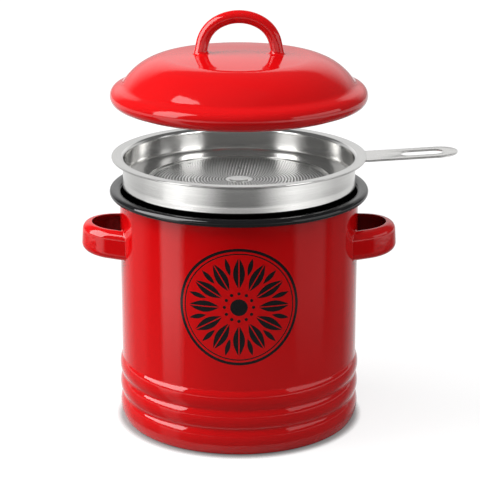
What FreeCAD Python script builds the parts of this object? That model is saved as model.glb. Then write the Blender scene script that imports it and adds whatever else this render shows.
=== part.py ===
"""Enamelled grease keeper: a ribbed steel pot, a drop-in strainer and a domed lid.

Millimetres, +Z up. The origin is the centre of the pot's flat base. The strainer and the
lid are drawn lifted off the pot, one above the other; each comes straight down to its seat.
"""
import FreeCAD, Part
import math
import os

V = FreeCAD.Vector
AXIS = V(0, 0, 1)
TOUCH = 1e-4                  # nearer than this, a point lies on a surface

# ---- pot: one drawn shell with three ribs and a rim rolled outwards --------------------
BODY_RADIUS = 62.5            # outside of the straight wall
POT_HEIGHT = 126.8            # base to the top of the rolled rim
SHEET = 1.2                   # enamelled sheet steel of pot and lid
RIM_OVERHANG = 5.3            # rolled rim's edge outside the straight wall
RIM_MOUTH_RADIUS = 3.25       # rounding from the pot's inside over onto the rim
RIM_EDGE_RADIUS = 1.9         # outside of the rolled edge
RIM_CURL_END_DEG = -150.0     # where the rolled edge stops, from outwards
BASE_CORNER_RADIUS = 3.0      # between base and wall
FOOT_CURVE_RADIUS = 16.0      # below the lowest rib's crest
RIB_COUNT = 3
RIB_PITCH = 10.8
RIB_HEIGHT = 1.3              # crest above the straight wall
RIB_VALLEY_RADIUS = 1.6       # between neighbouring ribs
LOWEST_CREST_HEIGHT = 8.8     # crest of the lowest rib above the base

# ---- side handles: pressed channels, welded to the wall --------------------------------
HANDLE_REACH = 20.3           # from the wall to the outermost point
HANDLE_TIP_RADIUS = 20.0      # of the loop seen from above
HANDLE_FLARE_DEG = 16.0       # each leg's spread towards the wall
HANDLE_RISE_DEG = 3.5         # loop's tilt, upwards away from the wall
HANDLE_HEIGHT = 15.5          # of the strap
HANDLE_CENTRE_HEIGHT = 99.0   # middle of the strap above the base
HANDLE_DEPTH = 4.7            # of the channel, from its face to its lips
HANDLE_FACE_EDGE_RADIUS = 4.2
HANDLE_SHEET = 1.5
HANDLE_WELD_RADIUS = 1.0      # enamel-filled weld around each foot

# ---- strainer: cup, perforated disc, clamping ring and a flat handle --------------------
CUP_SHEET = 0.8
CUP_CLEARANCE = 0.6           # between the cup's wall and the pot's inside
CUP_DEPTH = 15.9              # flange top to the underside of the cup
CUP_FLANGE_OVERHANG = 3.95    # flange's edge outside the pot's straight wall
CUP_MOUTH_RADIUS = 2.1        # rounding from the flange into the mouth
CUP_BOTTOM_CORNER_RADIUS = 0.9
CUP_BAND_HEIGHT = 3.55        # flared band at the foot of the cup's wall
CUP_BAND_FLARE = 0.3
CUP_FOOT_WIDTH = 1.5          # flat underside of the band
CUP_FOOT_DROP = 1.1           # foot below the ledge, joined by a slope of 45 degrees
CUP_LEDGE_WIDTH = 12.9        # from the cup's wall in to the opening in its bottom
MESH_THICKNESS = 0.5
MESH_EDGE_OVERLAP = 5.0       # disc lying on the cup's bottom ledge
MESH_HOLE_RADIUS = 1.0
MESH_HOLE_PITCH = 4.5
MESH_FIRST_RING_RADIUS = 9.0
MESH_BOSS_RADIUS = 5.3
MESH_BOSS_HEIGHT = 0.6
RING_SHEET = 0.6
RING_INNER_OVERHANG = 1.0     # ring's inner edge outside the cup's bottom opening
RING_FLAT_WIDTH = 3.5
RING_RISE = 1.2               # height of the ring's dished border
RING_WALL_GAP = 0.1           # ring pressed into the cup
TONGUE_THICKNESS = 0.85
TONGUE_WIDTH = 20.6
TONGUE_LENGTH = 47.55         # beyond the flange's edge
TONGUE_LAP = 3.6              # welded under the flange
TONGUE_BEND_OFFSET = 1.2      # bend line outside the flange's edge
TONGUE_RISE_DEG = 3.6
TONGUE_SLOT_LENGTH = 22.0
TONGUE_SLOT_WIDTH = 9.6
TONGUE_SLOT_TO_TIP = 7.6      # slot's outer end to the tip

# ---- lid: one drawn shell with its edge rolled under ------------------------------------
LID_BEAD_OVERHANG = 4.1       # bead's edge outside the pot's straight wall
LID_BEAD_TUBE_RADIUS = 5.0
LID_FLANGE_SLOPE_DEG = 22.3   # flange's rise from the bead inwards
LID_COVE_RADIUS = 4.5         # between flange and dome
LID_HEIGHT = 26.4             # seat to the top of the dome
LID_CROWN_RADIUS = 430.0
LID_CROWN_INSET = 24.9        # crown's edge inside the pot's straight wall
LID_SHOULDER_RADIUS = 30.0    # dome's turn down from the crown's edge
LID_LIP_DEPTH = 1.2           # locating lip below the seat
LID_LIP_CORNER_RADIUS = 1.0
LID_LIP_CLEARANCE = 0.5       # lip inside the strainer's mouth
BAIL_BAR_RADIUS = 3.4
BAIL_HEIGHT = 18.7            # centre line's top above the dome
BAIL_TOP_RADIUS = 22.0        # of the centre line over the middle
BAIL_TOP_SPAN_DEG = 60.0
BAIL_SHOULDER_RADIUS = 16.0   # of the centre line down to each leg
BAIL_SPLAY_DEG = 12.0         # legs from upright
BAIL_WELD_RADIUS = 1.6        # enamel-filled weld around each leg

# ---- where the loose pieces are drawn, and how they seat -------------------------------
SEAT_CLEARANCE = 0.1
STRAINER_LIFT = 15.15         # strainer above its seat as drawn
LID_LIFT = 27.0               # lid above its seat on the strainer as drawn

# ---- heights that follow ----------------------------------------------------------------
STRAINER_SEAT_HEIGHT = POT_HEIGHT + SEAT_CLEARANCE + TONGUE_THICKNESS
FLANGE_UNDERSIDE_HEIGHT = STRAINER_SEAT_HEIGHT + STRAINER_LIFT
FLANGE_TOP_HEIGHT = FLANGE_UNDERSIDE_HEIGHT + CUP_SHEET
CUP_BOTTOM_HEIGHT = FLANGE_TOP_HEIGHT - CUP_DEPTH
LEDGE_HEIGHT = CUP_BOTTOM_HEIGHT + CUP_SHEET + CUP_FOOT_DROP
MESH_TOP_HEIGHT = LEDGE_HEIGHT + MESH_THICKNESS
LID_BASE_HEIGHT = FLANGE_TOP_HEIGHT + SEAT_CLEARANCE + LID_LIFT

# ---- radii that follow ------------------------------------------------------------------
POT_INNER_RADIUS = BODY_RADIUS - SHEET
CUP_OUTER_RADIUS = POT_INNER_RADIUS - CUP_CLEARANCE
CUP_INNER_RADIUS = CUP_OUTER_RADIUS - CUP_SHEET
CUP_FLANGE_OUTER_RADIUS = BODY_RADIUS + CUP_FLANGE_OVERHANG
CUP_LEDGE_INNER_RADIUS = CUP_INNER_RADIUS - CUP_LEDGE_WIDTH
TONGUE_TIP_RADIUS = CUP_FLANGE_OUTER_RADIUS + TONGUE_LENGTH
LID_BEAD_OUTER_RADIUS = BODY_RADIUS + LID_BEAD_OVERHANG
LIP_OUTER_RADIUS = CUP_INNER_RADIUS - LID_LIP_CLEARANCE


# ---- drawing helpers ----------------------------------------------------------------------
def at(radius, height):
    """A point of a turned profile."""
    return V(radius, 0, height)


def line(start, end):
    return Part.LineSegment(start, end).toShape()


def on_circle(centre, radius, degrees):
    """Point of a circle in the profile's plane, 0 degrees outwards, 90 up."""
    angle = math.radians(degrees)
    return centre + at(radius * math.cos(angle), radius * math.sin(angle))


def arc(centre, radius, start_deg, end_deg):
    middle_deg = (start_deg + end_deg) / 2
    ends = [on_circle(centre, radius, deg) for deg in (start_deg, middle_deg, end_deg)]
    return Part.Arc(*ends).toShape()


def turned(face):
    return face.revolve(V(0, 0, 0), AXIS, 360)


def turned_sheet(edges, thickness):
    """Sheet metal turned about Z: the edges are its first surface, thickened to their left."""
    return turned(Part.Wire(edges).makeOffset2D(thickness, 0, True, True))


def turned_outline(points):
    return turned(Part.Face(Part.makePolygon(points + points[:1])))


def lies_on(point, shape):
    skin = Part.makeCompound(shape.Faces)
    return skin.distToShape(Part.Vertex(point))[0] < TOUCH


def welded(bar, ground, weld_radius):
    """The bar as it stands on the ground's surface, with a rounded weld around each foot."""
    joined = bar.fuse(ground)
    seams = []
    for edge in joined.Edges:
        middle = edge.valueAt((edge.FirstParameter + edge.LastParameter) / 2)
        if lies_on(middle, bar) and lies_on(middle, ground):
            seams.append(edge)
    return joined.makeFillet(weld_radius, seams).cut(ground)


def write(node, shape):
    """One node's file. A shape of a single solid is written as that solid."""
    solids = shape.Solids
    if len(solids) != 1 or not solids[0].isValid():
        raise ValueError(f"{node} is not one valid solid")
    solids[0].exportStep(f"parts/{node}.step")


# ---- pot ----------------------------------------------------------------------------------
def rib_edges():
    """The ribbed band from the lowest crest up to the straight wall, and its top height."""
    half_pitch = RIB_PITCH / 2
    swing = 2 * math.atan(RIB_HEIGHT / half_pitch)
    swing_deg = math.degrees(swing)
    crest_radius = half_pitch / math.sin(swing) - RIB_VALLEY_RADIUS
    crest_centre_radius = BODY_RADIUS + RIB_HEIGHT - crest_radius
    edges = []
    for rib in range(RIB_COUNT):
        crest = at(crest_centre_radius, LOWEST_CREST_HEIGHT + rib * RIB_PITCH)
        valley = at(BODY_RADIUS + RIB_VALLEY_RADIUS, crest.z + half_pitch)
        last = rib == RIB_COUNT - 1
        edges.append(arc(crest, crest_radius, 0 if rib == 0 else -swing_deg, swing_deg))
        edges.append(arc(valley, RIB_VALLEY_RADIUS, 180 + swing_deg, 180 if last else 180 - swing_deg))
    return edges, valley.z


def foot_edges():
    """Flat base, rounded corner and the curve up to the lowest crest."""
    lean = math.asin((LOWEST_CREST_HEIGHT - BASE_CORNER_RADIUS) / (FOOT_CURVE_RADIUS - BASE_CORNER_RADIUS))
    lean_deg = math.degrees(lean)
    curve = at(BODY_RADIUS + RIB_HEIGHT - FOOT_CURVE_RADIUS, LOWEST_CREST_HEIGHT)
    corner = on_circle(curve, FOOT_CURVE_RADIUS - BASE_CORNER_RADIUS, -lean_deg)
    return [
        line(at(0, 0), at(corner.x, 0)),
        arc(corner, BASE_CORNER_RADIUS, -90, -lean_deg),
        arc(curve, FOOT_CURVE_RADIUS, -lean_deg, 0),
    ]


def pot_shell():
    """Foot, ribs, wall and rim, drawn along the sheet's outside from the base's middle."""
    ribs, ribs_top = rib_edges()
    mouth = at(POT_INNER_RADIUS + RIM_MOUTH_RADIUS, POT_HEIGHT - RIM_MOUTH_RADIUS)
    curl = at(BODY_RADIUS + RIM_OVERHANG - RIM_EDGE_RADIUS, POT_HEIGHT - RIM_EDGE_RADIUS)
    under_rim = POT_HEIGHT - SHEET
    return turned_sheet(foot_edges() + ribs + [
        line(at(BODY_RADIUS, ribs_top), at(BODY_RADIUS, mouth.z)),
        arc(mouth, RIM_MOUTH_RADIUS - SHEET, 180, 90),
        line(at(mouth.x, under_rim), at(curl.x, under_rim)),
        arc(curl, RIM_EDGE_RADIUS - SHEET, 90, RIM_CURL_END_DEG),
    ], SHEET)


# ---- side handles --------------------------------------------------------------------------
def loop_block(inset, height):
    """The loop seen from above, drawn in by inset, as a block about the strap's mid-height."""
    radius = HANDLE_TIP_RADIUS - inset
    base = HANDLE_CENTRE_HEIGHT - height / 2
    tip = V(BODY_RADIUS + HANDLE_REACH, 0, base) - V(inset, 0, 0)
    centre = tip - V(radius, 0, 0)
    flare = math.radians(HANDLE_FLARE_DEG)
    shoulder = centre + V(math.sin(flare), math.cos(flare), 0) * radius
    root = V(0, shoulder.y + shoulder.x * math.tan(flare), base)
    other_shoulder = V(shoulder.x, -shoulder.y, base)
    other_root = V(0, -root.y, base)
    edges = [
        line(root, shoulder), Part.Arc(shoulder, tip, other_shoulder).toShape(),
        line(other_shoulder, other_root), line(other_root, root),
    ]
    return Part.Face(Part.Wire(edges)).extrude(V(0, 0, height))


def round_faces(block, height, radius):
    """The block with its upper and lower outlines rounded, apart from its cut-off back."""
    rims = []
    for edge in block.Edges:
        box = edge.BoundBox
        level = box.ZLength < TOUCH and abs(abs(box.ZMin - HANDLE_CENTRE_HEIGHT) - height / 2) < TOUCH
        if level and box.XMax > TOUCH:
            rims.append(edge)
    return block.makeFillet(radius, rims)


def side_handle():
    """Pressed channel bent to a loop, open towards the fingers, as welded to the wall."""
    groove_height = HANDLE_HEIGHT - 2 * HANDLE_SHEET
    face = round_faces(loop_block(0, HANDLE_HEIGHT), HANDLE_HEIGHT, HANDLE_FACE_EDGE_RADIUS)
    groove_edge_radius = HANDLE_FACE_EDGE_RADIUS - HANDLE_SHEET
    groove = round_faces(loop_block(HANDLE_SHEET, groove_height), groove_height, groove_edge_radius)
    strap = face.cut(loop_block(HANDLE_DEPTH, HANDLE_HEIGHT)).cut(groove)
    strap.rotate(V(BODY_RADIUS, 0, HANDLE_CENTRE_HEIGHT), V(0, 1, 0), -HANDLE_RISE_DEG)
    below = HANDLE_CENTRE_HEIGHT - 1.5 * HANDLE_HEIGHT
    wall = Part.makeCylinder(BODY_RADIUS, 3 * HANDLE_HEIGHT, V(0, 0, below))
    return welded(strap, wall, HANDLE_WELD_RADIUS)


# ---- strainer --------------------------------------------------------------------------------
def strainer_cup():
    """Flange, wall, flared band, foot and ledge, drawn along the inside from the flange's edge."""
    mouth = at(CUP_INNER_RADIUS + CUP_MOUTH_RADIUS, FLANGE_TOP_HEIGHT - CUP_MOUTH_RADIUS)
    inner_corner_radius = CUP_BOTTOM_CORNER_RADIUS - CUP_SHEET
    band_top = at(CUP_INNER_RADIUS, CUP_BOTTOM_HEIGHT + CUP_BAND_HEIGHT)
    band_end = at(CUP_INNER_RADIUS + CUP_BAND_FLARE, CUP_BOTTOM_HEIGHT + CUP_BOTTOM_CORNER_RADIUS)
    corner = band_end - at(inner_corner_radius, 0)
    foot_end = at(corner.x - CUP_FOOT_WIDTH, CUP_BOTTOM_HEIGHT + CUP_SHEET)
    ledge_start = foot_end + at(-CUP_FOOT_DROP, CUP_FOOT_DROP)
    return turned_sheet([
        line(at(CUP_FLANGE_OUTER_RADIUS, FLANGE_TOP_HEIGHT), at(mouth.x, FLANGE_TOP_HEIGHT)),
        arc(mouth, CUP_MOUTH_RADIUS, 90, 180),
        line(at(CUP_INNER_RADIUS, mouth.z), band_top),
        line(band_top, band_end),
        arc(corner, inner_corner_radius, 0, -90),
        line(at(corner.x, foot_end.z), foot_end),
        line(foot_end, ledge_start),
        line(ledge_start, at(CUP_LEDGE_INNER_RADIUS, LEDGE_HEIGHT)),
    ], CUP_SHEET)


def hole_circles():
    """Rings of holes at an even pitch, from the boss out to the cup's bottom opening."""
    edge_radius = CUP_LEDGE_INNER_RADIUS - MESH_HOLE_RADIUS
    ring_count = int((edge_radius - MESH_FIRST_RING_RADIUS) / MESH_HOLE_PITCH) + 1
    for ring in range(ring_count):
        radius = MESH_FIRST_RING_RADIUS + ring * MESH_HOLE_PITCH
        count = int(2 * math.pi * radius / MESH_HOLE_PITCH)
        for place in range(count):
            angle = 2 * math.pi * place / count
            centre = V(radius * math.cos(angle), radius * math.sin(angle), LEDGE_HEIGHT)
            yield Part.Wire(Part.makeCircle(MESH_HOLE_RADIUS, centre, AXIS))


def strainer_mesh():
    """Perforated disc on the cup's ledge, with a plain raised boss in its middle."""
    outer = Part.Wire(Part.makeCircle(CUP_LEDGE_INNER_RADIUS + MESH_EDGE_OVERLAP, at(0, LEDGE_HEIGHT), AXIS))
    sieve = Part.Face(outer).cut(Part.makeCompound([Part.Face(hole) for hole in hole_circles()]))
    disc = sieve.extrude(V(0, 0, MESH_THICKNESS))
    boss = Part.makeCylinder(MESH_BOSS_RADIUS, MESH_BOSS_HEIGHT, at(0, MESH_TOP_HEIGHT))
    return disc.fuse(boss).removeSplitter()


def mesh_ring():
    """Dished ring pressed into the cup, holding the disc's edge down on the ledge."""
    inner = CUP_LEDGE_INNER_RADIUS + RING_INNER_OVERHANG
    outer = CUP_INNER_RADIUS - RING_WALL_GAP
    flat_end = inner + RING_FLAT_WIDTH
    top = MESH_TOP_HEIGHT + RING_SHEET
    return turned_outline([
        at(inner, MESH_TOP_HEIGHT), at(flat_end, MESH_TOP_HEIGHT), at(outer, MESH_TOP_HEIGHT + RING_RISE),
        at(outer, top + RING_RISE), at(flat_end, top), at(inner, top),
    ])


def strainer_handle():
    """Flat tongue lapped under the flange, bent up a little, with a hanging slot."""
    bend = CUP_FLANGE_OUTER_RADIUS + TONGUE_BEND_OFFSET
    rise = (TONGUE_TIP_RADIUS - bend) * math.tan(math.radians(TONGUE_RISE_DEG))
    half = TONGUE_WIDTH / 2
    top = FLANGE_UNDERSIDE_HEIGHT
    side = Part.makePolygon([
        V(0, -half, top), V(bend, -half, top), V(TONGUE_TIP_RADIUS, -half, top + rise),
        V(TONGUE_TIP_RADIUS, -half, top + rise - TONGUE_THICKNESS), V(bend, -half, top - TONGUE_THICKNESS),
        V(0, -half, top - TONGUE_THICKNESS), V(0, -half, top),
    ])
    strip = Part.Face(side).extrude(V(0, TONGUE_WIDTH, 0))
    depth = 4 * (rise + TONGUE_THICKNESS)
    low = top - depth / 2
    round_x = TONGUE_TIP_RADIUS - half
    plan = Part.makeBox(round_x, TONGUE_WIDTH, depth, V(0, -half, low))
    plan = plan.fuse(Part.makeCylinder(half, depth, V(round_x, 0, low)))
    slot_radius = TONGUE_SLOT_WIDTH / 2
    slot_outer_x = TONGUE_TIP_RADIUS - TONGUE_SLOT_TO_TIP - slot_radius
    slot_inner_x = slot_outer_x - (TONGUE_SLOT_LENGTH - TONGUE_SLOT_WIDTH)
    slot = Part.makeBox(slot_outer_x - slot_inner_x, TONGUE_SLOT_WIDTH, depth, V(slot_inner_x, -slot_radius, low))
    for x in (slot_inner_x, slot_outer_x):
        slot = slot.fuse(Part.makeCylinder(slot_radius, depth, V(x, 0, low)))
    inside = Part.makeCylinder(CUP_FLANGE_OUTER_RADIUS - TONGUE_LAP, depth, V(0, 0, low))
    return strip.common(plan).cut(slot).cut(inside)


# ---- lid --------------------------------------------------------------------------------------
def dome_edges():
    """Crown and shoulder of the dome, with the centres of the cove and the bead that follow."""
    crown = at(0, LID_BASE_HEIGHT + LID_HEIGHT - LID_CROWN_RADIUS)
    crown_end_deg = math.degrees(math.acos((BODY_RADIUS - LID_CROWN_INSET) / LID_CROWN_RADIUS))
    shoulder = on_circle(crown, LID_CROWN_RADIUS - LID_SHOULDER_RADIUS, crown_end_deg)
    bead = at(LID_BEAD_OUTER_RADIUS - LID_BEAD_TUBE_RADIUS, LID_BASE_HEIGHT + LID_BEAD_TUBE_RADIUS)
    flange_normal_deg = 90 - LID_FLANGE_SLOPE_DEG
    inwards = on_circle(at(0, 0), 1, flange_normal_deg + 90)
    over_bead = on_circle(bead, LID_BEAD_TUBE_RADIUS + LID_COVE_RADIUS, flange_normal_deg)
    span = over_bead - shoulder
    along = span.dot(inwards)
    reach = LID_SHOULDER_RADIUS + LID_COVE_RADIUS
    flange_length = -along - math.sqrt(along ** 2 - span.dot(span) + reach ** 2)
    cove = over_bead + inwards * flange_length
    foot_deg = math.degrees(math.atan2(cove.z - shoulder.z, cove.x - shoulder.x))
    edges = [
        arc(crown, LID_CROWN_RADIUS, 90, crown_end_deg),
        arc(shoulder, LID_SHOULDER_RADIUS, crown_end_deg, foot_deg),
    ]
    return edges, foot_deg, cove, bead


def lid_shell():
    """Dome, flange, rolled edge and the short lip that centres the lid in the strainer."""
    edges, foot_deg, cove, bead = dome_edges()
    flange_normal_deg = 90 - LID_FLANGE_SLOPE_DEG
    flange_inner = on_circle(cove, LID_COVE_RADIUS, 180 + flange_normal_deg)
    flange_outer = on_circle(bead, LID_BEAD_TUBE_RADIUS, flange_normal_deg)
    lip_corner = at(LIP_OUTER_RADIUS + LID_LIP_CORNER_RADIUS, LID_BASE_HEIGHT - LID_LIP_CORNER_RADIUS)
    lip_end = at(LIP_OUTER_RADIUS, LID_BASE_HEIGHT - LID_LIP_DEPTH)
    edges += [
        arc(cove, LID_COVE_RADIUS, 180 + foot_deg, 180 + flange_normal_deg),
        line(flange_inner, flange_outer),
        arc(bead, LID_BEAD_TUBE_RADIUS, flange_normal_deg, -90),
        line(at(bead.x, LID_BASE_HEIGHT), at(lip_corner.x, LID_BASE_HEIGHT)),
        arc(lip_corner, LID_LIP_CORNER_RADIUS, 90, 180),
        line(at(LIP_OUTER_RADIUS, lip_corner.z), lip_end),
    ]
    return turned_sheet(edges, -SHEET)


def lid_handle():
    """Round bar bent to an arch, its legs splayed and welded to the dome."""
    dome = dome_edges()[0]
    dome_top = LID_BASE_HEIGHT + LID_HEIGHT
    hub = at(0, dome_top + BAIL_HEIGHT - BAIL_TOP_RADIUS)
    top_end_deg = 90 - BAIL_TOP_SPAN_DEG / 2
    right_hub = on_circle(hub, BAIL_TOP_RADIUS - BAIL_SHOULDER_RADIUS, top_end_deg)
    left_hub = V(-right_hub.x, 0, right_hub.z)
    splay = math.radians(BAIL_SPLAY_DEG)
    right = on_circle(right_hub, BAIL_SHOULDER_RADIUS, BAIL_SPLAY_DEG)
    right_end = right + at(math.sin(splay), -math.cos(splay)) * (BAIL_HEIGHT + BAIL_BAR_RADIUS)
    left = V(-right.x, 0, right.z)
    left_end = V(-right_end.x, 0, right_end.z)
    path = Part.Wire([
        line(left_end, left),
        arc(left_hub, BAIL_SHOULDER_RADIUS, 180 - BAIL_SPLAY_DEG, 180 - top_end_deg),
        arc(hub, BAIL_TOP_RADIUS, 180 - top_end_deg, top_end_deg),
        arc(right_hub, BAIL_SHOULDER_RADIUS, top_end_deg, BAIL_SPLAY_DEG),
        line(right, right_end),
    ])
    section = Part.Wire(Part.makeCircle(BAIL_BAR_RADIUS, left_end, left - left_end))
    bar = path.makePipeShell([section], True, True)
    foot = dome[-1].valueAt(dome[-1].LastParameter)
    under = [line(foot, at(foot.x, LID_BASE_HEIGHT)), line(at(foot.x, LID_BASE_HEIGHT), at(0, LID_BASE_HEIGHT)),
             line(at(0, LID_BASE_HEIGHT), at(0, dome_top))]
    block = turned(Part.Face(Part.Wire(dome + under)))
    return welded(bar, block, BAIL_WELD_RADIUS)


def build():
    os.makedirs("parts", exist_ok=True)
    write("pot_shell", pot_shell())
    right = side_handle()
    write("right_handle", right)
    write("left_handle", right.mirror(V(0, 0, 0), V(1, 0, 0)))
    write("strainer_cup", strainer_cup())
    write("strainer_mesh", strainer_mesh())
    write("mesh_ring", mesh_ring())
    write("strainer_handle", strainer_handle())
    write("lid_shell", lid_shell())
    write("lid_handle", lid_handle())


build()
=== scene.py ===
"""Enamelled grease keeper: detailed pieces, finishes, light and camera.

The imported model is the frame. Lengths in the profiles are millimetres, +Z up, with the
origin at the centre of the pot's flat base.
"""
import math

import bmesh
import bpy
from mathutils import Matrix, Vector


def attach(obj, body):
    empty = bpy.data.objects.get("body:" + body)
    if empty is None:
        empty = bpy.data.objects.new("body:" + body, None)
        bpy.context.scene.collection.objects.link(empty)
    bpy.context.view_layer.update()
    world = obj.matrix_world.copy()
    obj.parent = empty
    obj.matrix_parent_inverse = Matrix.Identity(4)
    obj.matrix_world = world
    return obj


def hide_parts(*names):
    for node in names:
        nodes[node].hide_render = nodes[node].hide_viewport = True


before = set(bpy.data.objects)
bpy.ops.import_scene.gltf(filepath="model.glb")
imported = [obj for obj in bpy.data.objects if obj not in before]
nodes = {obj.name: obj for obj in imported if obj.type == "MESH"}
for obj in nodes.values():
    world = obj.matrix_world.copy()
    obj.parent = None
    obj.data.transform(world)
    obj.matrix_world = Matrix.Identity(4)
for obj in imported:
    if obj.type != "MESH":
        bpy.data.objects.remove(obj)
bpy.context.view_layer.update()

MM = 0.001
SEGMENTS = 240                  # round a turned piece
SHARP_EDGE = math.radians(38)   # the shading breaks across an edge that turns by more
RAW_EDGE = math.radians(70)     # a sheet's cut edge turns by more, and is eased
MERGE_DISTANCE = 1e-6           # metres

# ---- sizes shared by the profiles, in millimetres ------------------------------------
BODY_RADIUS = 62.5
SHEET = 1.2
RIM_MOUTH = (64.55, 123.55)     # centre of the rim's turn outwards
RIM_CURL = (65.87, 124.9)       # centre of its rolled edge
UNDER_RIM = 125.6
CUP_INNER_RADIUS = 59.9
CUP_SHEET = 0.8
FLANGE_TOP = 143.7
FLANGE_EDGE_RADIUS = 66.45
LEDGE_TOP = 129.7
MESH_TOP = 130.2
MESH_SHEET = 0.5
RING_SHEET = 0.55
LID_BASE = 170.8
DOME_TOP = 197.2
ROSETTE_HEIGHT = 80.5           # of the printed rosette's centre


# ---- turned sheet metal ---------------------------------------------------------------
def arc(centre, radius, start_deg, end_deg, step_deg=6.0):
    """Points of a circular stretch of a profile, both ends included."""
    count = max(2, math.ceil(abs(end_deg - start_deg) / step_deg))
    points = []
    for i in range(count + 1):
        angle = math.radians(start_deg + (end_deg - start_deg) * i / count)
        points.append((centre[0] + radius * math.cos(angle), centre[1] + radius * math.sin(angle)))
    return points


def straight(start, end, count=6):
    """Points of a straight stretch, closer together at its two ends."""
    points = []
    for i in range(count + 1):
        t = (1 - math.cos(math.pi * i / count)) / 2
        points.append((start[0] + (end[0] - start[0]) * t, start[1] + (end[1] - start[1]) * t))
    return points


def mesh_object(name, bm, materials):
    """The finished mesh as an object at the origin, smooth except across its sharp edges."""
    for face in bm.faces:
        face.smooth = True
    for edge in bm.edges:
        edge.smooth = len(edge.link_faces) == 2 and edge.calc_face_angle() < SHARP_EDGE
    mesh = bpy.data.meshes.new(name)
    bm.to_mesh(mesh)
    bm.free()
    obj = bpy.data.objects.new(name, mesh)
    bpy.context.scene.collection.objects.link(obj)
    for material in materials:
        mesh.materials.append(material)
    return obj


def turn(bm, profile, segments=SEGMENTS, closed=False):
    """Turns a profile of (radius, height) points about Z and merges its seam and poles."""
    verts = []
    for radius, height in profile:
        point = Vector((radius * MM, 0, height * MM))
        if not verts or (verts[-1].co - point).length > MERGE_DISTANCE:
            verts.append(bm.verts.new(point))
    edges = [bm.edges.new(pair) for pair in zip(verts, verts[1:])]
    if closed:
        edges.append(bm.edges.new((verts[-1], verts[0])))
    bmesh.ops.spin(bm, geom=verts + edges, cent=(0, 0, 0), axis=(0, 0, 1), angle=2 * math.pi,
                   steps=segments, use_merge=True, use_duplicate=False)
    bmesh.ops.remove_doubles(bm, verts=bm.verts, dist=MERGE_DISTANCE)
    bmesh.ops.recalc_face_normals(bm, faces=bm.faces)


def behind(profile, thickness):
    """The profile's other skin, a sheet's thickness to the right of its direction of travel."""
    skin = []
    for i, (radius, height) in enumerate(profile):
        before, after = profile[max(i - 1, 0)], profile[min(i + 1, len(profile) - 1)]
        along = Vector((after[0] - before[0], after[1] - before[1])).normalized()
        skin.append((radius + along.y * thickness, height - along.x * thickness))
    return skin


def turned_sheet(profile, thickness):
    """Turned sheet metal: the profile's skin, thickened to the right, with its raw edges eased."""
    profile = [p for i, p in enumerate(profile) if i == 0 or math.dist(p, profile[i - 1]) > 1e-3]
    bm = bmesh.new()
    turn(bm, profile + behind(profile, thickness)[::-1], closed=profile[0][0] > 1e-3)
    ease_edges(bm, 0.2 * abs(thickness))
    return bm


def ease_edges(bm, width):
    """Rounds a sheet's raw edges by a width in millimetres."""
    raw = [e for e in bm.edges if len(e.link_faces) == 2 and e.calc_face_angle() > RAW_EDGE]
    bmesh.ops.bevel(bm, geom=raw, offset=width * MM, offset_type="OFFSET", segments=2,
                    profile=0.5, affect="EDGES", material=-1)


def add_piece(name, bm, materials, body, replaced):
    """The finished mesh as a piece that rides on its body in place of its CAD node."""
    obj = mesh_object(name, bm, materials)
    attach(obj, body)
    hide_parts(replaced)
    return obj


# ---- shader building ------------------------------------------------------------------
class Tree:
    """Adds nodes to a material's or a group's node tree.

    An input is given by its name, with _ for a space, or by its number, as in i0.
    """

    def __init__(self, tree):
        self.tree = tree

    def node(self, kind, settings=None, **inputs):
        made = self.tree.nodes.new(kind)
        for key, value in (settings or {}).items():
            setattr(made, key, value)
        for key, value in inputs.items():
            by_number = key[0] == "i" and key[1:].isdigit()
            socket = made.inputs[int(key[1:]) if by_number else key.replace("_", " ")]
            if isinstance(value, bpy.types.NodeSocket):
                self.tree.links.new(value, socket)
            else:
                socket.default_value = value
        return made

    def math(self, operation, first, second=0.0, third=0.0):
        made = self.node("ShaderNodeMath", {"operation": operation}, i0=first, i1=second, i2=third)
        return made.outputs[0]

    def fit(self, value, low, high, to_low=0.0, to_high=1.0, smooth=False):
        """The value's stretch from low to high, spread from to_low to to_high."""
        kind = {"interpolation_type": "SMOOTHSTEP" if smooth else "LINEAR"}
        made = self.node("ShaderNodeMapRange", kind, i0=value, i1=low, i2=high, i3=to_low, i4=to_high)
        return made.outputs[0]

    def blend(self, factor, first, second):
        """The first colour where the factor is 0, the second where it is 1."""
        made = self.node("ShaderNodeMix", {"data_type": "RGBA"})
        for socket, value in ((made.inputs[0], factor), (made.inputs[6], first), (made.inputs[7], second)):
            if isinstance(value, bpy.types.NodeSocket):
                self.tree.links.new(value, socket)
            else:
                socket.default_value = value
        return made.outputs[2]

    def object_point(self):
        """X, Y and Z of the piece's own coordinates, in metres."""
        point = self.node("ShaderNodeTexCoord").outputs["Object"]
        return point, self.node("ShaderNodeSeparateXYZ", i0=point).outputs


def new_group(name, inputs, outputs):
    """An empty node group with its tree, and the sockets that carry its inputs and outputs."""
    group = bpy.data.node_groups.new(name, "ShaderNodeTree")
    for label, kind, value in inputs:
        socket = group.interface.new_socket(label, in_out="INPUT", socket_type=kind)
        socket.default_value = value
    for label, kind in outputs:
        group.interface.new_socket(label, in_out="OUTPUT", socket_type=kind)
    tree = Tree(group)
    return tree, tree.node("NodeGroupInput").outputs, tree.node("NodeGroupOutput").inputs


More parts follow.
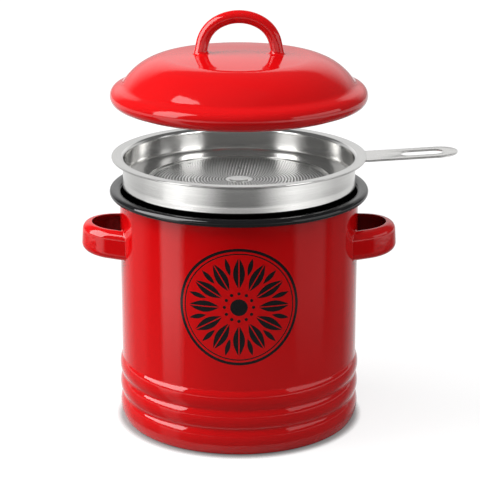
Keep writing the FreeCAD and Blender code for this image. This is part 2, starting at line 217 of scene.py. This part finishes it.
def fired_enamel_group():
    """Ripple, tone and gloss of fired enamel: a gentle orange peel and faint flow marks."""
    tree, given, out = new_group(
        "fired_enamel",
        [("Ripple", "NodeSocketFloat", 1.0), ("Tone Spread", "NodeSocketFloat", 0.06),
         ("Roughness", "NodeSocketFloat", 0.08)],
        [("Tone", "NodeSocketFloat"), ("Roughness", "NodeSocketFloat"), ("Height", "NodeSocketFloat")])
    point, _ = tree.object_point()
    broad = tree.node("ShaderNodeTexNoise", Vector=point, Scale=24.0, Detail=2.0).outputs[0]
    peel = tree.node("ShaderNodeTexNoise", Vector=point, Scale=330.0, Detail=1.0).outputs[0]
    fine = tree.node("ShaderNodeTexNoise", Vector=point, Scale=1500.0, Detail=2.0).outputs[0]
    tone = tree.math("MULTIPLY_ADD", tree.math("SUBTRACT", broad, 0.5), given["Tone Spread"], 1.0)
    rough = tree.math("MULTIPLY_ADD", tree.fit(fine, 0.35, 0.75, 0.0, 1.0), 0.035, given["Roughness"])
    height = tree.math("MULTIPLY", tree.math("MULTIPLY_ADD", broad, 3.0, peel), given["Ripple"])
    for socket, value in ((out["Tone"], tone), (out["Roughness"], rough), (out["Height"], height)):
        tree.tree.links.new(value, socket)
    return tree.tree


def steel_grain_group():
    """Fine grinding lines. Place runs across the lines in X and Z and along them in Y."""
    tree, given, out = new_group(
        "steel_grain",
        [("Place", "NodeSocketVector", (0, 0, 0)), ("Roughness", "NodeSocketFloat", 0.25),
         ("Spread", "NodeSocketFloat", 0.12)],
        [("Tone", "NodeSocketFloat"), ("Roughness", "NodeSocketFloat"), ("Height", "NodeSocketFloat")])
    times = {"operation": "MULTIPLY"}
    lines = tree.node("ShaderNodeVectorMath", times, i0=given["Place"], i1=(3600, 60, 3600)).outputs[0]
    grain = tree.node("ShaderNodeTexNoise", Vector=lines, Scale=1.0, Detail=4.0, Roughness=0.65).outputs[0]
    bands = tree.node("ShaderNodeVectorMath", times, i0=given["Place"], i1=(500, 20, 500)).outputs[0]
    broad = tree.node("ShaderNodeTexNoise", Vector=bands, Scale=1.0, Detail=2.0).outputs[0]
    tone = tree.fit(grain, 0.25, 0.75, 0.90, 1.06)
    mean = tree.math("MULTIPLY", tree.math("ADD", broad, grain), 0.5)
    rough = tree.math("MULTIPLY_ADD", tree.math("SUBTRACT", mean, 0.5), given["Spread"], given["Roughness"])
    for socket, value in ((out["Tone"], tone), (out["Roughness"], rough), (out["Height"], grain)):
        tree.tree.links.new(value, socket)
    return tree.tree


def rosette_group():
    """A plain printed rosette on the pot's front: rings, two rows of leaves and a ring of dots."""
    tree, given, out = new_group(
        "printed_rosette",
        [("Centre Height", "NodeSocketFloat", ROSETTE_HEIGHT)],
        [("Ink", "NodeSocketFloat")])
    _, (x, y, z) = tree.object_point()
    across = tree.math("MULTIPLY", tree.math("ARCTAN2", x, tree.math("MULTIPLY", y, -1.0)), BODY_RADIUS)
    up = tree.math("SUBTRACT", tree.math("MULTIPLY", z, 1000.0), given["Centre Height"])
    radius = tree.math("POWER", tree.math("MULTIPLY_ADD", across, across, tree.math("MULTIPLY", up, up)), 0.5)
    bearing = tree.math("ADD", tree.math("ARCTAN2", across, up), 2 * math.pi)

    def band(middle, half):
        """A ring of ink; about the centre itself it is a plain disc."""
        return tree.math("LESS_THAN", tree.math("ABSOLUTE", tree.math("SUBTRACT", radius, middle)), half)

    def off_axis(count, phase=0.0):
        """Distance across from the nearest of so many spokes."""
        pitch = 2 * math.pi / count
        shifted = tree.math("ADD", bearing, pitch * (0.5 + phase))
        aside = tree.math("SUBTRACT", tree.math("MODULO", shifted, pitch), pitch / 2)
        return tree.math("MULTIPLY", tree.math("ABSOLUTE", aside), radius)

    def leaf(count, phase, start, end, half_width):
        """Pointed leaves along so many spokes, from one radius to another."""
        along = tree.fit(radius, start, end, 0.0, math.pi)
        width = tree.math("MULTIPLY", tree.math("SINE", along), half_width)
        return tree.math("LESS_THAN", off_axis(count, phase), tree.math("SUBTRACT", width, 0.02))

    def dot(count, phase, middle, size):
        """Round dots on so many spokes."""
        gap = tree.math("SUBTRACT", radius, middle)
        side = off_axis(count, phase)
        squared = tree.math("MULTIPLY_ADD", gap, gap, tree.math("MULTIPLY", side, side))
        return tree.math("LESS_THAN", squared, size * size)

    leaves = 12
    vein = tree.math("GREATER_THAN", off_axis(leaves), 0.28)
    broad_leaf = leaf(leaves, 0.0, 9.5, 26.2, 3.0)
    marks = [
        band(30.0, 0.75), band(27.9, 0.3), tree.math("MULTIPLY", broad_leaf, vein),
        leaf(leaves, 0.5, 17.0, 26.6, 1.25), dot(leaves, 0.0, 7.3, 0.85), band(0.0, 4.4),
    ]
    ink = marks[0]
    for mark in marks[1:]:
        ink = tree.math("MAXIMUM", ink, mark)
    tree.tree.links.new(ink, out["Ink"])
    return tree.tree


FIRED_ENAMEL = fired_enamel_group()
STEEL_GRAIN = steel_grain_group()
ROSETTE = rosette_group()

RED = (0.64, 0.0030, 0.0045, 1.0)
DEEP_RED = (0.55, 0.0020, 0.0030, 1.0)
# painted shade: a darker red for the side handles' faces toward the finger gap, in place of the shadow inside
# the channel
PAINTED_SHADE_RED = (0.13, 0.0008, 0.0010, 1.0)
BLACK = (0.010, 0.010, 0.011, 1.0)
DEEP_BLACK = (0.006, 0.006, 0.007, 1.0)
WHITE = (1, 1, 1, 1)
ENAMEL_RIPPLE = 1.0
ENAMEL_ROUGHNESS = 0.05


def new_material(name):
    """A material with an empty node tree."""
    material = bpy.data.materials.new(name)
    material.use_nodes = True
    material.node_tree.nodes.clear()
    return material, Tree(material.node_tree)


def finish_material(tree, shader):
    """Joins the finished shader to the material's surface."""
    out = tree.node("ShaderNodeOutputMaterial")
    tree.tree.links.new(shader.outputs[0], out.inputs["Surface"])


def finger_gap_shade_mask(tree):
    """1 on the surfaces of a side handle that face its finger gap, 0 on the others: where the handle's
    painted shade goes.
    """
    gap_radius, gap_height = 0.069, 0.099
    _, (x, y, z) = tree.object_point()
    normal = tree.node("ShaderNodeTexCoord").outputs["Normal"]
    nx, ny, nz = tree.node("ShaderNodeSeparateXYZ", i0=normal).outputs
    past_gap = tree.math("SUBTRACT", tree.math("ABSOLUTE", x), gap_radius)
    across = tree.math("MULTIPLY", past_gap, tree.math("SIGN", x))
    outward = tree.math("MULTIPLY_ADD", nx, across, tree.math("MULTIPLY", ny, y))
    outward = tree.math("MULTIPLY_ADD", nz, tree.math("SUBTRACT", z, gap_height), outward)
    return tree.math("LESS_THAN", outward, 0.0)


def enamel(name, colour, deep_colour, printed=False, shaded_inside=False):
    """Glossy fired enamel; a printed piece has the rosette, and a side handle a painted shade, a darker red,
    on its faces toward the finger gap.
    """
    material, tree = new_material(name)
    fired = tree.node("ShaderNodeGroup", {"node_tree": FIRED_ENAMEL},
                      Ripple=ENAMEL_RIPPLE, Roughness=ENAMEL_ROUGHNESS)
    shade = tree.fit(fired.outputs["Tone"], 0.96, 1.04, 0.0, 1.0)
    paint = tree.blend(shade, deep_colour, colour)
    if printed:
        rosette = tree.node("ShaderNodeGroup", {"node_tree": ROSETTE}, Centre_Height=ROSETTE_HEIGHT)
        paint = tree.blend(rosette.outputs["Ink"], paint, BLACK)
    if shaded_inside:
        # painted shade: the faces toward the finger gap are darkened as if in the channel's shadow
        paint = tree.blend(finger_gap_shade_mask(tree), paint, PAINTED_SHADE_RED)
    bump = tree.node("ShaderNodeBump", Strength=0.12, Distance=0.0002, Height=fired.outputs["Height"])
    shader = tree.node("ShaderNodeBsdfPrincipled", Base_Color=paint, Roughness=fired.outputs["Roughness"],
                       Normal=bump.outputs[0], IOR=1.5)
    finish_material(tree, shader)
    return material


def steel(name, colour, roughness, spread, bump_strength, anisotropic=0.5, turned=True):
    """Stainless steel with fine lines, turned round Z or ground straight along X."""
    mean_radius = 0.05
    material, tree = new_material(name)
    point, (x, y, z) = tree.object_point()
    if turned:
        radius = tree.math("POWER", tree.math("MULTIPLY_ADD", x, x, tree.math("MULTIPLY", y, y)), 0.5)
        around = tree.math("MULTIPLY", tree.math("ARCTAN2", y, x), mean_radius)
        place = tree.node("ShaderNodeCombineXYZ", X=radius, Y=around, Z=z).outputs[0]
    else:
        place = tree.node("ShaderNodeCombineXYZ", X=y, Y=x, Z=z).outputs[0]
    grain = tree.node("ShaderNodeGroup", {"node_tree": STEEL_GRAIN},
                      Place=place, Roughness=roughness, Spread=spread)
    red, green, blue = [tree.math("MULTIPLY", grain.outputs["Tone"], part) for part in colour]
    paint = tree.node("ShaderNodeCombineColor", Red=red, Green=green, Blue=blue).outputs[0]
    bump = tree.node("ShaderNodeBump", Strength=bump_strength, Distance=0.00005,
                     Height=grain.outputs["Height"])
    shader = tree.node("ShaderNodeBsdfPrincipled", Base_Color=paint, Metallic=1.0,
                       Roughness=grain.outputs["Roughness"], Normal=bump.outputs[0],
                       Anisotropic=anisotropic if turned else 0.0, Anisotropic_Rotation=0.25)
    if turned:
        tangent = tree.node("ShaderNodeTangent", {"direction_type": "RADIAL", "axis": "Z"})
        tree.tree.links.new(tangent.outputs[0], shader.inputs["Tangent"])
    finish_material(tree, shader)
    return material


red_enamel = enamel("red_enamel", RED, DEEP_RED)
printed_enamel = enamel("red_enamel_printed", RED, DEEP_RED, printed=True)
# the side handles' enamel, with painted shade on the faces toward the finger gap
shaded_handle_enamel = enamel("red_enamel_shaded", RED, DEEP_RED, shaded_inside=True)
black_enamel = enamel("black_enamel", BLACK, DEEP_BLACK)
brushed_steel = steel("brushed_steel", (0.70, 0.695, 0.68), 0.17, 0.10, 0.06)
polished_steel = steel("polished_steel", (0.74, 0.735, 0.72), 0.10, 0.05, 0.04, anisotropic=0.3)
sieve_steel = steel("sieve_steel", (0.93, 0.925, 0.91), 0.31, 0.04, 0.06, anisotropic=0.0)
boss_steel = steel("stamped_boss", (0.92, 0.915, 0.90), 0.24, 0.08, 0.05, anisotropic=0.0)
inner_steel = steel("drawn_steel_inside", (0.90, 0.895, 0.88), 0.20, 0.10, 0.06)
straight_steel = steel("straight_ground_steel", (0.88, 0.87, 0.85), 0.26, 0.14, 0.08, turned=False)


# ---- pot --------------------------------------------------------------------------------
def pot_profile():
    """Outer skin from the base's centre over the foot, three ribs and wall into the curled rim."""
    foot_x, foot_radius, lean = 59.434, 3.0, 26.497
    belly_x, belly_radius = 47.8, 16.0
    ribs, pitch, lowest, rib_depth = 3, 10.8, 8.8, 1.3
    swing, crest_radius, groove_radius = 27.083, 10.262, 1.6
    mouth_radius, curl_radius = 2.05, 0.7
    crest_x = BODY_RADIUS + rib_depth - crest_radius
    points = straight((0, 0), (foot_x, 0), 8)
    points += arc((foot_x, foot_radius), foot_radius, -90, -lean, 8)
    points += arc((belly_x, lowest), belly_radius, -lean, 0, 3)
    for rib in range(ribs):
        height = lowest + rib * pitch
        points += arc((crest_x, height), crest_radius, 0 if rib == 0 else -swing, swing, 4.5)
        groove = (BODY_RADIUS + groove_radius, height + pitch / 2)
        points += arc(groove, groove_radius, 180 + swing, 180 if rib == ribs - 1 else 180 - swing, 9)
    points += straight((BODY_RADIUS, lowest + 2.5 * pitch), (BODY_RADIUS, RIM_MOUTH[1]), 14)
    points += arc(RIM_MOUTH, mouth_radius, 180, 90, 7.5)
    points += straight((RIM_MOUTH[0], UNDER_RIM), (RIM_CURL[0], UNDER_RIM), 2)
    return points + arc(RIM_CURL, curl_radius, 90, -150, 12)


def is_black_part(face):
    """Whether a face of the pot is on the rolled rim or the inside."""
    floor_limit, floor_radius = 30, 60.5
    middle = face.calc_center_median()
    radius = math.hypot(middle.x, middle.y)
    outward = (face.normal.x * middle.x + face.normal.y * middle.y) / max(radius, 1e-9)
    on_rim = radius > (BODY_RADIUS + 0.1) * MM and middle.z > (RIM_CURL[1] - 4) * MM
    over_rim = middle.z > RIM_MOUTH[1] * MM
    on_floor = face.normal.z > 0.5 and middle.z < floor_limit * MM and radius < floor_radius * MM
    return on_rim or over_rim or outward < -0.05 or on_floor


bm = turned_sheet(pot_profile(), -SHEET)
for face in bm.faces:
    face.material_index = 1 if is_black_part(face) else 0
pot_wall = add_piece("pot_wall", bm, [printed_enamel, black_enamel], "pot", "pot_shell")


# ---- strainer -----------------------------------------------------------------------------
def cup_profile():
    """Top skin from the flange's edge over the mouth and down the wall to the foot and ledge."""
    mouth_x, mouth_height, mouth_radius = 62.0, 141.6, 2.1
    band_start, band_end, foot = (59.93, 131.1), (60.2, 128.7), 128.6
    points = straight((FLANGE_EDGE_RADIUS, FLANGE_TOP), (mouth_x, FLANGE_TOP), 4)
    points += arc((mouth_x, mouth_height), mouth_radius, 90, 180, 9)
    points += straight((CUP_INNER_RADIUS, mouth_height), (CUP_INNER_RADIUS, 131.5), 5)
    points += straight(band_start, band_end, 4) + arc((60.1, 128.7), 0.1, 0, -90, 22.5)
    points += straight((60.1, foot), (58.6, foot), 3) + straight((58.5, 128.7), (57.6, 129.6), 3)
    return points + straight((57.5, LEDGE_TOP), (47.0, LEDGE_TOP), 4)


def ring_profile():
    """Top skin of the dished ring, from its flat inner border up to the cup's wall."""
    border, dish_start, dish_radius = MESH_TOP + 0.6, 52.5, 22.5
    flat = straight((48.0, border), (dish_start, border), 3)
    return flat + arc((dish_start, MESH_TOP + 23.1), dish_radius, -90, -71.2, 2)


def sieve_mesh():
    """Thin disc with rings of fine round holes, a plain border and a plain raised boss."""
    hole_pitch, hole_radius, first_radius, last_radius = 1.62, 0.55, 6.9, 46.6
    corner_cut = 0.29 * 2 * hole_radius
    border_end, boss_radius, boss_edge, boss_top = 52.0, 4.9, 0.4, MESH_TOP + 0.6
    bm = bmesh.new()
    ring_count = int((last_radius - first_radius) / hole_pitch)
    for ring in range(ring_count):
        inner = first_radius + ring * hole_pitch
        count = int(2 * math.pi * (inner + hole_pitch / 2) / hole_pitch)
        strip = bmesh.new()
        ends = [strip.verts.new((r * MM, 0, MESH_TOP * MM)) for r in (inner, inner + hole_pitch)]
        stagger = Matrix.Rotation(math.pi * (ring % 2) / count, 3, "Z")
        bmesh.ops.rotate(strip, verts=ends, cent=(0, 0, 0), matrix=stagger)
        bmesh.ops.spin(strip, geom=ends + [strip.edges.new(ends)], cent=(0, 0, 0), axis=(0, 0, 1),
                       angle=2 * math.pi, steps=count, use_merge=True, use_duplicate=False)
        holes = strip.faces[:]
        bmesh.ops.inset_individual(strip, faces=holes, thickness=(hole_pitch / 2 - hole_radius) * MM)
        corners = [v for f in holes for v in f.verts]
        bmesh.ops.bevel(strip, geom=corners, offset=corner_cut * MM, offset_type="OFFSET",
                        segments=1, profile=0.5, affect="VERTICES", material=-1)
        bmesh.ops.delete(strip, geom=[f for f in strip.faces if len(f.verts) == 8], context="FACES")
        mesh = bpy.data.meshes.new("strip")
        strip.to_mesh(mesh)
        strip.free()
        bm.from_mesh(mesh)
        bpy.data.meshes.remove(mesh)
    border_radius = first_radius + ring_count * hole_pitch
    turn(bm, straight((border_radius, MESH_TOP), (border_end, MESH_TOP), 2), 160)
    boss = straight((0, boss_top), (boss_radius, boss_top), 3)
    boss += arc((boss_radius, boss_top - boss_edge), boss_edge, 90, 0, 30)
    turn(bm, boss + straight((5.3, MESH_TOP), (first_radius, MESH_TOP), 2), 120)
    for face in bm.faces:
        if face.normal.z < -0.01:
            face.normal_flip()
        on_boss = face.calc_center_median().length < math.hypot(5.5, MESH_TOP) * MM
        face.material_index = 1 if on_boss else 0
    bmesh.ops.solidify(bm, geom=bm.faces[:], thickness=MESH_SHEET * MM)
    return bm


def tongue_mesh():
    """Flat handle strip with a hanging slot, lapped under the flange and bent up a little."""
    half, lap_radius, tip, slot_half = 10.3, 62.85, 103.7, 4.8
    slot_start, slot_end = 89.2, 101.6
    top, sheet, bend_start, bend_deg = 142.88, 0.83, 67.65, 3.6
    lap_deg = math.degrees(math.asin(half / lap_radius))
    outline = arc((tip, 0), half, -90, 90, 6) + arc((0, 0), lap_radius, lap_deg, -lap_deg, 3)
    slot = arc((slot_end, 0), slot_half, -90, 90, 9) + arc((slot_start, 0), slot_half, 90, 270, 9)
    bm = bmesh.new()
    edges = []
    for loop in (outline, slot):
        verts = [bm.verts.new((x * MM, y * MM, top * MM)) for x, y in loop]
        edges += [bm.edges.new(pair) for pair in zip(verts, verts[1:] + verts[:1])]
    bmesh.ops.triangle_fill(bm, use_beauty=True, use_dissolve=False, edges=edges)
    bend = bend_start * MM
    bmesh.ops.bisect_plane(bm, geom=bm.verts[:] + bm.edges[:] + bm.faces[:], dist=1e-7,
                           plane_co=(bend, 0, 0), plane_no=(1, 0, 0))
    for face in bm.faces:
        if face.normal.z < 0:
            face.normal_flip()
    bmesh.ops.solidify(bm, geom=bm.faces[:], thickness=sheet * MM)
    ease_edges(bm, 0.16)
    for vert in bm.verts:
        if vert.co.x > bend:
            vert.co.z += (vert.co.x - bend) * math.tan(math.radians(bend_deg))
    return bm


bm = turned_sheet(cup_profile(), -CUP_SHEET)
for face in bm.faces:
    middle = face.calc_center_median()
    outward = face.normal.x * middle.x + face.normal.y * middle.y
    facing_axis = outward < -0.3 * math.hypot(middle.x, middle.y)
    face.material_index = 1 if facing_axis and middle.z < FLANGE_TOP * MM else 0
strainer_bowl = add_piece("strainer_bowl", bm, [brushed_steel, inner_steel],
                          "strainer", "strainer_cup")
clamping_ring = add_piece("clamping_ring", turned_sheet(ring_profile(), RING_SHEET), [polished_steel],
                          "strainer", "mesh_ring")
sieve_disc = add_piece("sieve_disc", sieve_mesh(), [sieve_steel, boss_steel],
                       "strainer", "strainer_mesh")
add_piece("handle_strip", tongue_mesh(), [straight_steel],
          "strainer", "strainer_handle")


# ---- lid ------------------------------------------------------------------------------------
def lid_profile():
    """Outer skin from the crown over shoulder, cove, flange and rolled bead to the locating lip."""
    crown_radius, shoulder_radius, cove_radius, bead_radius, lip_radius = 430.0, 30.0, 4.5, 5.0, 1.0
    crown_end, foot, flange = 84.984, 34.830, 67.7
    bead_x, lip_x = 61.6, 60.4
    points = arc((0, DOME_TOP - crown_radius), crown_radius, 90, crown_end, 0.5)
    points += arc((34.977, DOME_TOP - 31.532), shoulder_radius, crown_end, foot, 3)
    points += arc((63.296, LID_BASE + 14.572), cove_radius, 180 + foot, 180 + flange, 5)
    points += arc((bead_x, LID_BASE + bead_radius), bead_radius, flange, -90, 6)
    points += straight((bead_x, LID_BASE), (lip_x, LID_BASE), 2)
    points += arc((lip_x, LID_BASE - lip_radius), lip_radius, 90, 180, 15)
    return points + straight((59.4, LID_BASE - lip_radius), (59.4, LID_BASE - 1.2), 2)


def is_lid_inside(face):
    """Whether a face of the lid is on its hollow side, within the rolled bead."""
    middle = face.calc_center_median()
    within_bead = math.hypot(middle.x, middle.y) < 60.8 * MM and middle.z > (LID_BASE + 0.4) * MM
    return face.normal.z < -0.15 and within_bead


bm = turned_sheet(lid_profile(), SHEET)
for face in bm.faces:
    face.material_index = 1 if is_lid_inside(face) else 0
lid_dome = add_piece("lid_dome", bm, [red_enamel, black_enamel], "lid", "lid_shell")

WELDED_HANDLES = {"left_handle": shaded_handle_enamel, "right_handle": shaded_handle_enamel, "lid_handle": red_enamel}
for name, material in WELDED_HANDLES.items():
    nodes[name].data.materials.clear()
    nodes[name].data.materials.append(material)


# ---- studio -----------------------------------------------------------------------------------
TABLE_HALF = 5.0              # metres, as are the lengths below
GLOW_RADII = (0.07, 3.0)
GLOW_HEIGHT = 0.0004
LAMP_AIM = Vector((0, 0, 0.12))
CAMERA_PLACE = (0, -0.9103, 0.3734)
CAMERA_TILT = 73.098          # degrees up from straight down
LENS = 134.76                 # millimetres, as is the sensor's width
SENSOR_WIDTH = 36.0
CAMERA_SHIFT = 0.0021


def stage_object(name, bm, material, camera=True, diffuse=True):
    """A piece of the studio, hidden on request from the camera or from soft light."""
    mesh = bpy.data.meshes.new(name)
    bm.to_mesh(mesh)
    bm.free()
    mesh.materials.append(material)
    obj = bpy.data.objects.new(name, mesh)
    bpy.context.scene.collection.objects.link(obj)
    obj.visible_camera, obj.visible_diffuse, obj.visible_shadow = camera, diffuse, camera


def flat_ring(inner, outer, height):
    """A flat ring round Z, in metres."""
    bm = bmesh.new()
    ends = [bm.verts.new((0, r, height)) for r in (inner, outer)]
    bmesh.ops.spin(bm, geom=ends + [bm.edges.new(ends)], cent=(0, 0, 0), axis=(0, 0, 1),
                   angle=2 * math.pi, steps=24)
    return bm


def table_material():
    """A pale table top, seen white but for the shadow round whatever stands on it: partly the real shadow in
    its lit part, partly a painted shadow that dims its glow.
    """
    material, tree = new_material("white_table")
    path = tree.node("ShaderNodeLightPath").outputs
    point, _ = tree.object_point()
    speckle = tree.node("ShaderNodeTexNoise", Vector=point, Scale=60.0, Detail=2.0).outputs[0]
    value = tree.fit(speckle, 0.0, 1.0, 0.84, 0.86)
    colour = tree.node("ShaderNodeCombineColor", Red=value, Green=value, Blue=value).outputs[0]
    table = tree.node("ShaderNodeBsdfDiffuse", Color=colour)
    bounce = tree.node("ShaderNodeBsdfDiffuse", Color=(0.45, 0.45, 0.45, 1.0))
    # painted shadow: the glow the camera sees is dimmed by ambient occlusion close to whatever stands on the
    # table
    contact = tree.node("ShaderNodeAmbientOcclusion", {"samples": 8}, Distance=0.006).outputs["AO"]
    distance = tree.node("ShaderNodeVectorMath", {"operation": "LENGTH"}, i0=point).outputs["Value"]
    shaded = tree.fit(contact, 0.50, 0.88, 0.22, 1.12)
    strength = tree.math("MULTIPLY", shaded, tree.fit(distance, 0.4, 1.5, 1.0, 1.3))
    bright = tree.node("ShaderNodeEmission", Color=WHITE, Strength=strength)
    seen = tree.node("ShaderNodeMixShader", i0=0.72, i1=table.outputs[0], i2=bright.outputs[0])
    mixed = tree.node("ShaderNodeMixShader",
                      i0=path["Is Camera Ray"], i1=bounce.outputs[0], i2=seen.outputs[0])
    finish_material(tree, mixed)
    return material


def glow_material():
    """What the walls mirror in the table: two pale strips, dark in front near the pot, white far out."""
    wall_offset = 0.0305
    material, tree = new_material("table_glow")
    _, (x, y, z) = tree.object_point()
    radius = tree.math("POWER", tree.math("MULTIPLY_ADD", x, x, tree.math("MULTIPLY", y, y)), 0.5)
    plain_bearing = tree.math("DEGREES", tree.math("ARCTAN2", x, tree.math("MULTIPLY", y, -1.0)))
    nearness = tree.math("DIVIDE", wall_offset, radius)
    bearing = tree.math("DIVIDE", plain_bearing, tree.math("SUBTRACT", 1.0, nearness))
    aside = tree.math("ABSOLUTE", bearing)

    def strip(start, full, fading, end, strength):
        """A pale strip that rises between start and full and falls between fading and end."""
        rise = tree.fit(bearing, start, full, 0.0, strength, smooth=True)
        across = tree.math("MINIMUM", rise, tree.fit(bearing, fading, end, strength, 0.0, smooth=True))
        return tree.math("MULTIPLY", across, tree.fit(radius, 0.12, 0.30, 0.32, 1.0))

    left_side = tree.fit(bearing, -90.0, -108.0, 0.0, 0.26)
    right_side = tree.fit(bearing, 88.0, 104.0, 0.0, 0.13)
    back = tree.fit(aside, 125.0, 170.0, 0.0, 0.7)
    sides = tree.math("ADD", tree.math("MAXIMUM", left_side, right_side), back)
    near = tree.fit(radius, 0.44, 0.15, 0.015, 0.15)
    for glow in (strip(-84.0, -77.0, -62.0, -51.0, 1.30), strip(50.0, 60.0, 86.0, 98.0, 0.33), sides):
        near = tree.math("MAXIMUM", near, glow)
    middle = tree.fit(radius, 0.72, 0.84, 0.22, 0.85)
    left_peak, right_peak = 1.8, 1.66
    left = tree.math("MINIMUM", tree.fit(bearing, -54.0, -8.0, left_peak, middle, smooth=True),
                     tree.fit(bearing, -54.0, -110.0, left_peak, 0.82))
    right = tree.math("MINIMUM", tree.fit(bearing, 12.0, 54.0, middle, right_peak, smooth=True),
                      tree.fit(bearing, 54.0, 108.0, right_peak, 0.83))
    far = tree.math("MAXIMUM", left, right)
    strength = tree.fit(radius, 0.475, 0.50, near, far)
    finish_material(tree, tree.node("ShaderNodeEmission", Color=WHITE, Strength=strength))
    return material


def studio_world():
    """White low down behind, dim overhead and in front, and white where the camera looks."""
    world = bpy.data.worlds.new("studio")
    bpy.context.scene.world = world
    world.use_nodes = True
    world.node_tree.nodes.clear()
    tree = Tree(world.node_tree)
    sky = tree.node("ShaderNodeTexCoord").outputs["Generated"]
    direction = tree.node("ShaderNodeSeparateXYZ", i0=sky).outputs
    behind = tree.fit(direction[1], 0.60, 0.92, 0.08, 0.86, smooth=True)
    low = tree.fit(direction[2], 0.50, 0.62, 1.0, 0.0, smooth=True)
    horizon = tree.fit(direction[2], 0.10, 0.22, 0.65, 1.0)
    glow = tree.math("MULTIPLY", tree.math("MULTIPLY", behind, low), horizon)
    strength = tree.math("MAXIMUM", glow, 0.12)
    seen = tree.node("ShaderNodeLightPath").outputs["Is Camera Ray"]
    background = tree.node("ShaderNodeBackground", Color=WHITE, Strength=tree.math("MAXIMUM", strength, seen))
    out = tree.node("ShaderNodeOutputWorld")
    tree.tree.links.new(background.outputs[0], out.inputs["Surface"])


def softbox(name, bearing_deg, elevation_deg, distance, size, radiance, mirrored_in=()):
    """A rectangular lamp aimed at the object's middle, with bearings from -Y towards +X.

    It gives soft light, or only a reflection on the pieces that it is mirrored in.
    """
    data = bpy.data.lights.new(name, "AREA")
    data.shape = "RECTANGLE"
    data.size, data.size_y = size
    data.energy = radiance * math.pi * size[0] * size[1]
    bearing, elevation = math.radians(bearing_deg), math.radians(elevation_deg)
    level = math.cos(elevation)
    towards = Vector((math.sin(bearing) * level, -math.cos(bearing) * level, math.sin(elevation)))
    obj = bpy.data.objects.new(name, data)
    obj.location = LAMP_AIM + towards * distance
    obj.rotation_euler = towards.to_track_quat("Z", "Y").to_euler()
    obj.visible_diffuse, obj.visible_glossy = not mirrored_in, bool(mirrored_in)
    if mirrored_in:
        receivers = bpy.data.collections.new(name + "_receivers")
        for piece in mirrored_in:
            receivers.objects.link(piece)
        obj.light_linking.receiver_collection = receivers
    bpy.context.scene.collection.objects.link(obj)


bm = bmesh.new()
bmesh.ops.create_grid(bm, x_segments=2, y_segments=2, size=TABLE_HALF)
stage_object("table", bm, table_material())
stage_object("table_glow", flat_ring(*GLOW_RADII, GLOW_HEIGHT), glow_material(), camera=False, diffuse=False)
studio_world()

# Each lamp has a bearing and elevation in degrees, a distance, a width and height, and a radiance.
handles = [nodes[name] for name in WELDED_HANDLES]
softbox("left_reflection", -76, 32, 0.95, (0.92, 1.10), 6.5, mirrored_in=[pot_wall] + handles)
softbox("lid_reflection", -66, 30, 0.95, (0.42, 0.90), 4.4, mirrored_in=[lid_dome])
# The steel's lamps differ only in bearing, width and radiance.
STEEL_LAMPS = ((-53, 0.34, 3.0), (52, 0.34, 3.0), (-132, 0.4, 0.4), (132, 0.4, 0.4), (84, 0.2, 0.8))
for bearing, width, radiance in STEEL_LAMPS:
    softbox("steel_reflection_%d" % bearing, bearing, 17, 0.9, (width, 0.45), radiance,
            mirrored_in=[strainer_bowl, clamping_ring, sieve_disc])
softbox("right_reflection", 72, 14, 0.95, (0.90, 0.32), 1.3, mirrored_in=[pot_wall, lid_dome] + handles)
softbox("left_softbox", -88, 32, 0.95, (0.92, 1.10), 4.2)
softbox("right_fill", 80, 30, 0.95, (0.20, 0.50), 8.0)
softbox("overhead", -35, 70, 1.0, (1.0, 1.0), 2.75)
lid_dome.visible_glossy = False   # the steel below mirrors the bright studio and not the lid

camera_data = bpy.data.cameras.new("camera")
camera_data.lens = LENS
camera_data.sensor_width = SENSOR_WIDTH
camera_data.shift_x = CAMERA_SHIFT
camera = bpy.data.objects.new("camera", camera_data)
camera.location = CAMERA_PLACE
camera.rotation_euler = (math.radians(CAMERA_TILT), 0, 0)
bpy.context.scene.collection.objects.link(camera)
bpy.context.scene.camera = camera
bpy.context.scene.view_settings.view_transform = "Standard"
